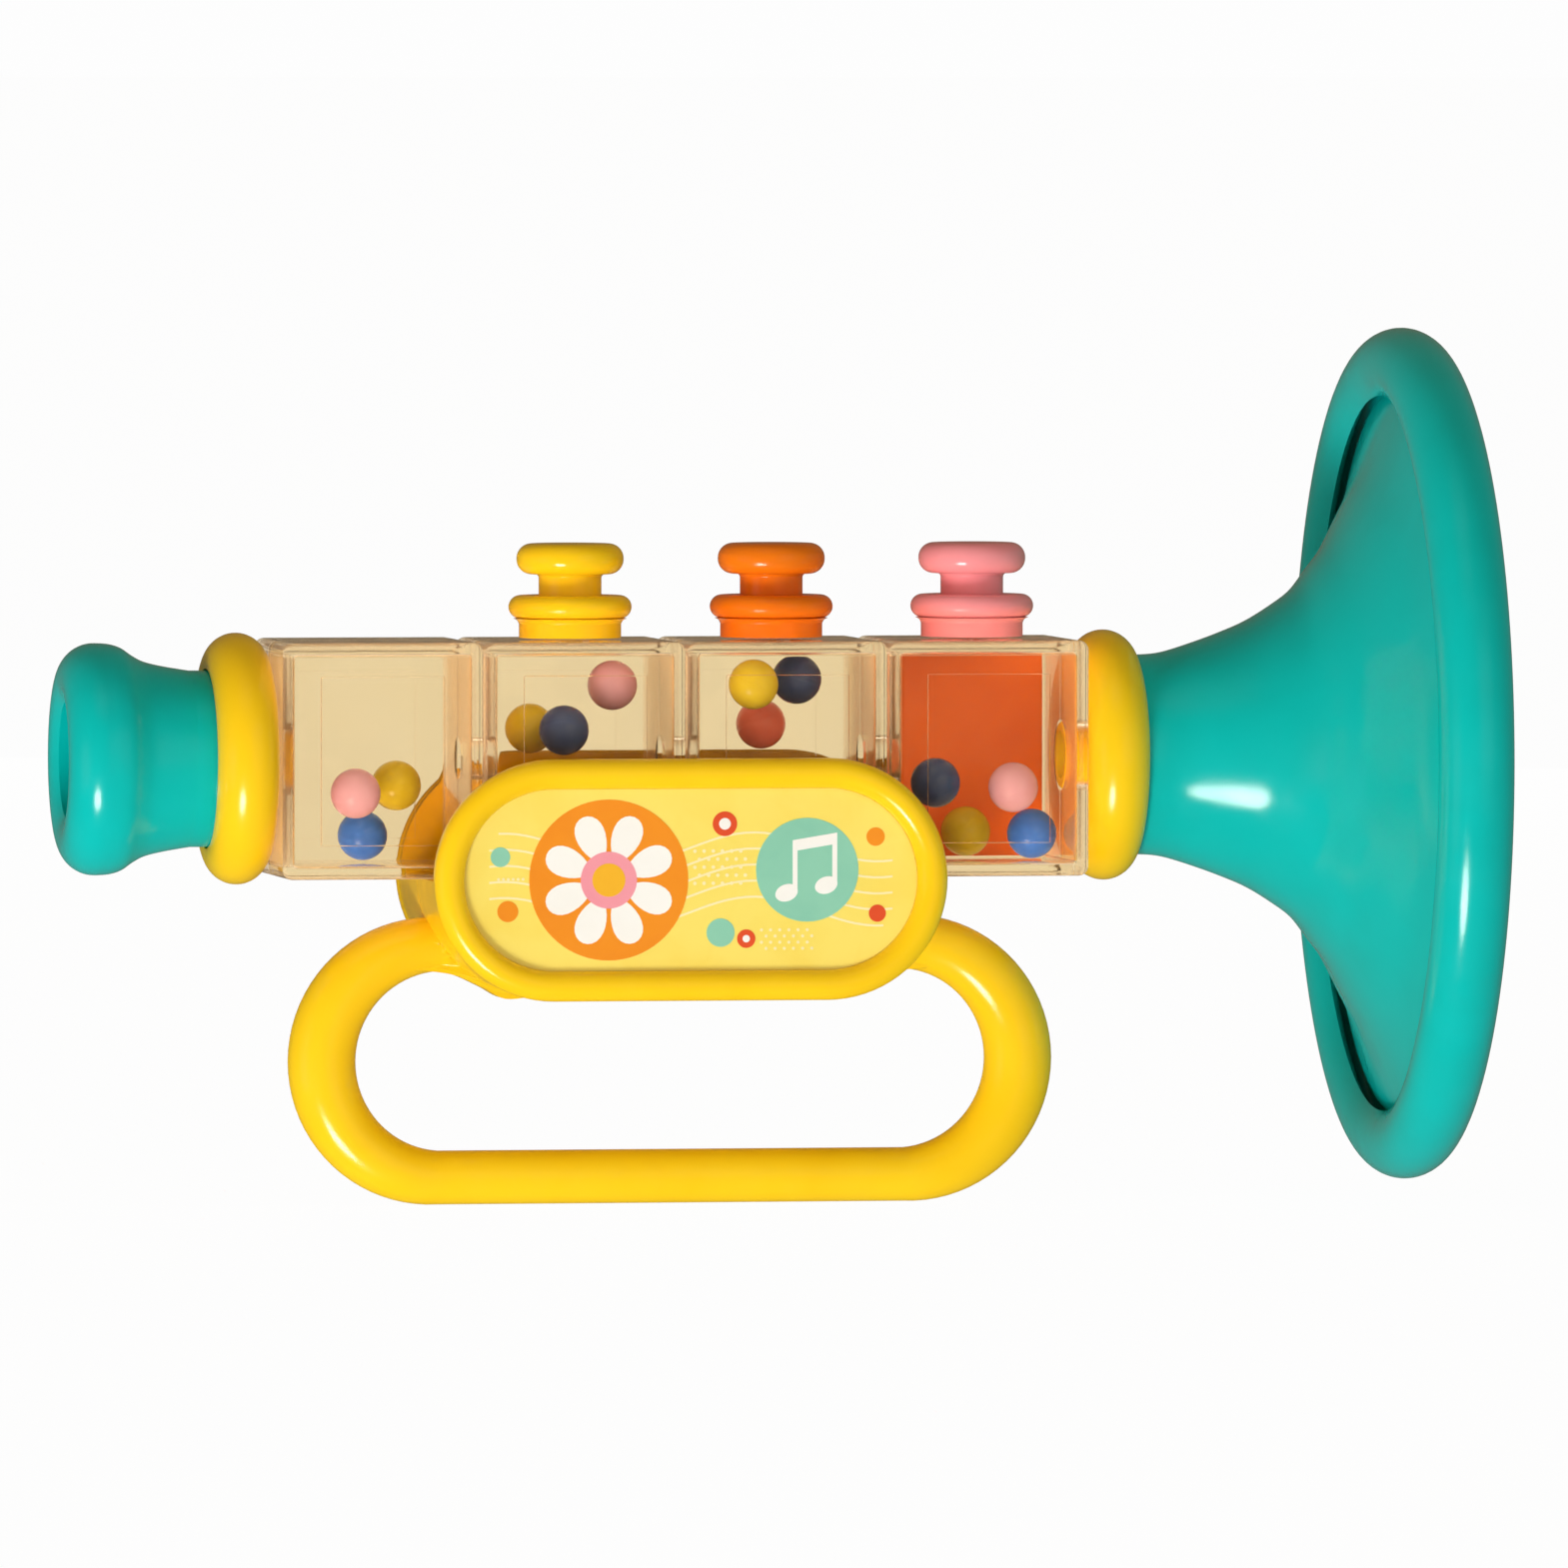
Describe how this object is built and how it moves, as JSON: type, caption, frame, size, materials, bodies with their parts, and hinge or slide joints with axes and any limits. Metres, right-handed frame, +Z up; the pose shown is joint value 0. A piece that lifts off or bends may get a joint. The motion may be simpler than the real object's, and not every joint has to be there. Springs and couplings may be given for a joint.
{
  "type": "toy trumpet",
  "caption": "Toy trumpet with clear rattle chambers holding beads, sprung valve buttons, a loop handle with an oval badge and a flared bell.",
  "frame": {"origin": "middle of the handle's lower bar, where a hand holds the trumpet in its playing pose", "axes": "+X along the trumpet from the mouthpiece to the bell, +Z up through the valve buttons, -Y the side with the badge label"},
  "size_m": [0.227, 0.139, 0.1421],
  "materials": {
    "teal_plastic": "glossy moulded",
    "yellow_plastic": "glossy moulded",
    "orange_plastic": "glossy moulded",
    "pink_plastic": "glossy moulded",
    "clear_plastic": "clear polished, faint amber tint",
    "orange_backing": "satin sheet",
    "bead_pink": "glossy",
    "bead_yellow": "glossy",
    "bead_blue": "glossy",
    "bead_navy": "glossy",
    "bead_red": "glossy",
    "label_film": "printed film",
    "reed_plastic": "satin moulded",
    "steel": "bright zinc plated"
  },
  "bodies": {
    "trumpet_body": {"mouthpiece": "teal_plastic", "reed_block": "reed_plastic", "reed_tongue": "steel", "mouthpiece_collar": "yellow_plastic", "chamber_1_front": "clear_plastic", "chamber_1_rear": "clear_plastic", "chamber_2_front": "clear_plastic", "chamber_2_rear": "clear_plastic", "chamber_3_front": "clear_plastic", "chamber_3_rear": "clear_plastic", "chamber_4_front": "clear_plastic", "chamber_4_rear": "clear_plastic", "chamber_4_backing": "orange_backing", "valve_1_guide": "yellow_plastic", "valve_1_spring": "steel", "valve_2_guide": "orange_plastic", "valve_2_spring": "steel", "valve_3_guide": "pink_plastic", "valve_3_spring": "steel", "bell_collar": "yellow_plastic", "bell": "teal_plastic", "handle_front": "yellow_plastic", "handle_rear": "yellow_plastic", "handle_screw_1": "steel", "handle_screw_2": "steel", "handle_screw_3": "steel", "handle_screw_4": "steel", "badge_label": "label_film"},
    "valve_1": {"valve_1_button": "yellow_plastic"},
    "valve_2": {"valve_2_button": "orange_plastic"},
    "valve_3": {"valve_3_button": "pink_plastic"},
    "loose_bead_1_pink": {"bead_1_pink": "bead_pink"},
    "loose_bead_1_yellow": {"bead_1_yellow": "bead_yellow"},
    "loose_bead_1_blue": {"bead_1_blue": "bead_blue"},
    "loose_bead_2_navy": {"bead_2_navy": "bead_navy"},
    "loose_bead_2_yellow": {"bead_2_yellow": "bead_yellow"},
    "loose_bead_2_pink": {"bead_2_pink": "bead_pink"},
    "loose_bead_3_yellow": {"bead_3_yellow": "bead_yellow"},
    "loose_bead_3_navy": {"bead_3_navy": "bead_navy"},
    "loose_bead_3_red": {"bead_3_red": "bead_red"},
    "loose_bead_4_navy": {"bead_4_navy": "bead_navy"},
    "loose_bead_4_pink": {"bead_4_pink": "bead_pink"},
    "loose_bead_4_blue": {"bead_4_blue": "bead_blue"},
    "loose_bead_4_yellow": {"bead_4_yellow": "bead_yellow"}
  },
  "joints": [
    {"name": "valve_1_press", "type": "slide", "parent": "trumpet_body", "child": "valve_1", "axis": [0, 0, -1], "range_m": [0, 0.003], "stiffness_N_per_m": 250, "springref_m": -0.001, "deforming": ["valve_1_spring"]},
    {"name": "valve_2_press", "type": "slide", "parent": "trumpet_body", "child": "valve_2", "axis": [0, 0, -1], "range_m": [0, 0.003], "stiffness_N_per_m": 250, "springref_m": -0.001, "deforming": ["valve_2_spring"]},
    {"name": "valve_3_press", "type": "slide", "parent": "trumpet_body", "child": "valve_3", "axis": [0, 0, -1], "range_m": [0, 0.003], "stiffness_N_per_m": 250, "springref_m": -0.001, "deforming": ["valve_3_spring"]},
    {"name": "bead_1_pink_tumble", "type": "slide", "parent": "trumpet_body", "child": "loose_bead_1_pink", "axis": [0, 0, 1], "range_m": [-0.00758, 0.01832]},
    {"name": "bead_1_yellow_tumble", "type": "slide", "parent": "trumpet_body", "child": "loose_bead_1_yellow", "axis": [0, 0, 1], "range_m": [-0.00847, 0.01743]},
    {"name": "bead_1_blue_tumble", "type": "slide", "parent": "trumpet_body", "child": "loose_bead_1_blue", "axis": [0, 0, 1], "range_m": [0, 0.0259]},
    {"name": "bead_2_navy_tumble", "type": "slide", "parent": "trumpet_body", "child": "loose_bead_2_navy", "axis": [0, 0, 1], "range_m": [-0.01765, 0.00825]},
    {"name": "bead_2_yellow_tumble", "type": "slide", "parent": "trumpet_body", "child": "loose_bead_2_yellow", "axis": [0, 0, 1], "range_m": [-0.01765, 0.00825]},
    {"name": "bead_2_pink_tumble", "type": "slide", "parent": "trumpet_body", "child": "loose_bead_2_pink", "axis": [0, 0, 1], "range_m": [-0.02466, 0.00124]},
    {"name": "bead_3_yellow_tumble", "type": "slide", "parent": "trumpet_body", "child": "loose_bead_3_yellow", "axis": [0, 0, 1], "range_m": [-0.02495, 0.00095]},
    {"name": "bead_3_navy_tumble", "type": "slide", "parent": "trumpet_body", "child": "loose_bead_3_navy", "axis": [0, 0, 1], "range_m": [-0.02545, 0.00045]},
    {"name": "bead_3_red_tumble", "type": "slide", "parent": "trumpet_body", "child": "loose_bead_3_red", "axis": [0, 0, 1], "range_m": [-0.01787, 0.00803]},
    {"name": "bead_4_navy_tumble", "type": "slide", "parent": "trumpet_body", "child": "loose_bead_4_navy", "axis": [0, 0, 1], "range_m": [-0.00887, 0.01703]},
    {"name": "bead_4_pink_tumble", "type": "slide", "parent": "trumpet_body", "child": "loose_bead_4_pink", "axis": [0, 0, 1], "range_m": [-0.00807, 0.01783]},
    {"name": "bead_4_blue_tumble", "type": "slide", "parent": "trumpet_body", "child": "loose_bead_4_blue", "axis": [0, 0, 1], "range_m": [-0.00014, 0.02576]},
    {"name": "bead_4_yellow_tumble", "type": "slide", "parent": "trumpet_body", "child": "loose_bead_4_yellow", "axis": [0, 0, 1], "range_m": [-0.0003, 0.0256]}
  ]
}
